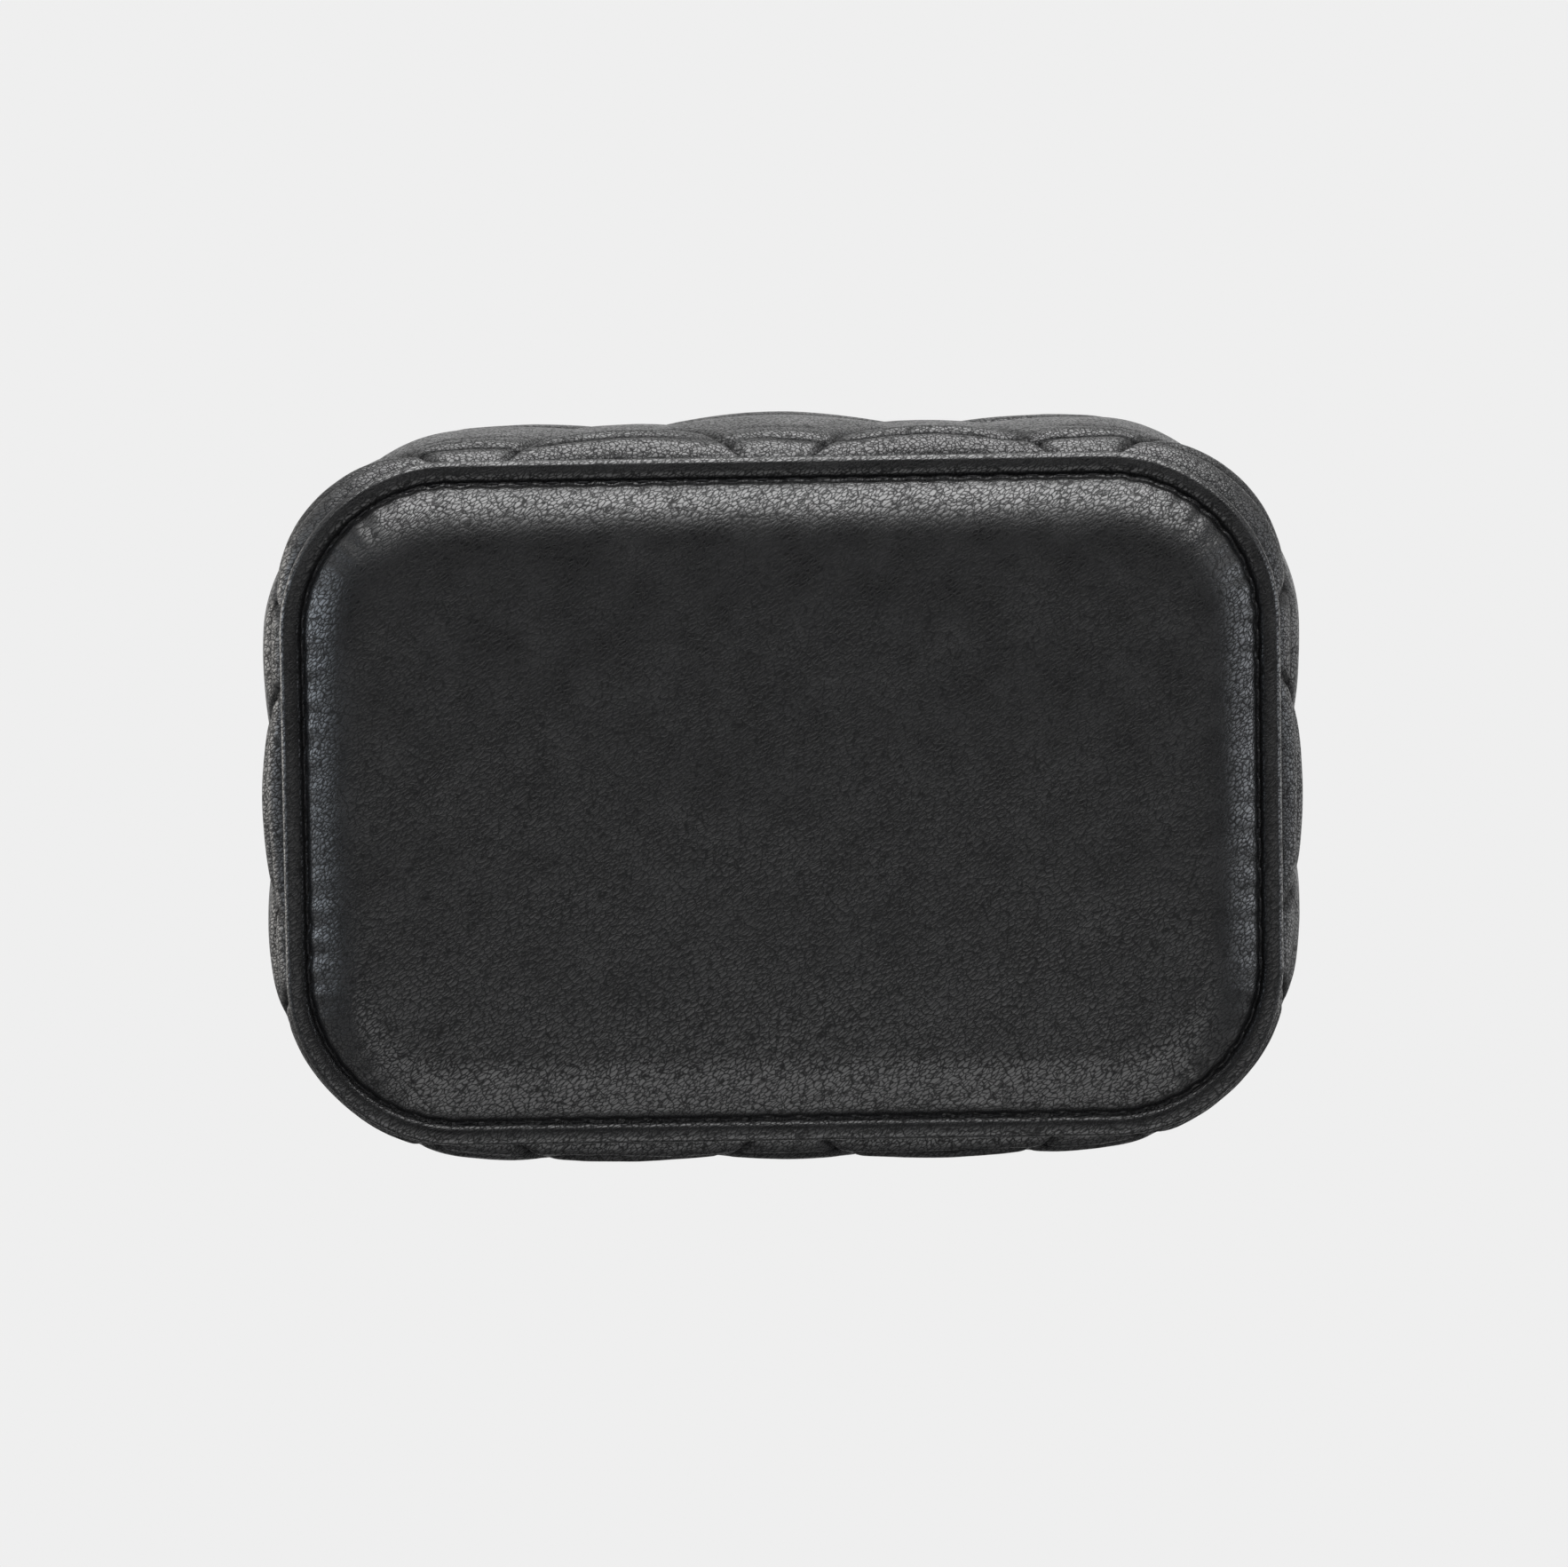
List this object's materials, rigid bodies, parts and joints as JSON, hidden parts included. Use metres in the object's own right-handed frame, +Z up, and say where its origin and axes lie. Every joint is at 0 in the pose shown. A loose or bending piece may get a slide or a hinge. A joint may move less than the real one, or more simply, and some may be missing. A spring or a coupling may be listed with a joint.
{
  "type": "jewellery case",
  "caption": "Small zip-round jewellery case in black leather with quilted walls, a smooth padded underside, a hinged lid with a mirror, ring rolls and compartments.",
  "frame": {"origin": "centre of the padded underside, at the level on which the case stands", "axes": "+Z up through the lid, +X along the width to the right seen from the front, the front faces -Y and the lid hinges at +Y"},
  "size_m": [0.1164, 0.0831, 0.0739],
  "materials": {
    "smooth_leather": "smooth black lambskin, satin, fine grain",
    "quilted_leather": "quilted black lambskin, satin, fine grain",
    "thread": "black waxed thread",
    "board": "grey pressed board",
    "foam": "pale padding foam",
    "foam_bed": "firm foam covered in dark suede",
    "suede": "soft dark suede with a short nap",
    "zip_tape": "black herringbone tape",
    "zip_metal": "polished pale gold",
    "mirror": "silvered glass"
  },
  "bodies": {
    "case_body": {"base_cover": "smooth_leather", "base_foam": "foam", "base_board": "board", "base_welt": "smooth_leather", "base_stitching": "thread", "body_wall_board": "board", "body_quilted_wall": "quilted_leather", "body_collar": "smooth_leather", "body_zip_facing": "smooth_leather", "body_facing_stitching": "thread", "body_lining": "suede", "ring_bed": "foam_bed", "ring_rolls": "suede", "divider_long": "suede", "divider_cross": "suede", "zip_tape_lower": "zip_tape", "zip_teeth_lower": "zip_metal", "zip_stops_lower": "zip_metal", "hinge_panel": "smooth_leather", "hinge_strip": "suede", "zip_tape_end": "zip_tape"},
    "lid": {"lid_cover": "smooth_leather", "lid_foam": "foam", "lid_board": "board", "lid_welt": "smooth_leather", "lid_stitching": "thread", "lid_wall_board": "board", "lid_quilted_wall": "quilted_leather", "lid_collar": "smooth_leather", "lid_zip_facing": "smooth_leather", "lid_facing_stitching": "thread", "lid_lining": "suede", "mirror_frame": "smooth_leather", "mirror_glass": "mirror", "zip_tape_upper": "zip_tape", "zip_teeth_upper": "zip_metal", "zip_stops_upper": "zip_metal"},
    "slider": {"zip_slider": "zip_metal"},
    "puller": {"zip_puller": "zip_metal"}
  },
  "joints": [
    {"name": "lid_hinge", "type": "hinge", "parent": "case_body", "child": "lid", "pos_m": [0, 0.03818, 0.0472], "axis": [-1, 0, 0], "range_deg": [0, 100], "deforming": ["hinge_panel", "hinge_strip", "zip_tape_end"]},
    {"name": "slider_run", "type": "hinge", "parent": "case_body", "child": "slider", "pos_m": [-0.036, 0.01875, 0.0472], "axis": [0, 0, 1], "range_deg": [0, 60]},
    {"name": "puller_swing", "type": "hinge", "parent": "slider", "child": "puller", "pos_m": [-0.04079, 0.0395, 0.0472], "axis": [0, 0, 1], "range_deg": [0, 165]}
  ]
}
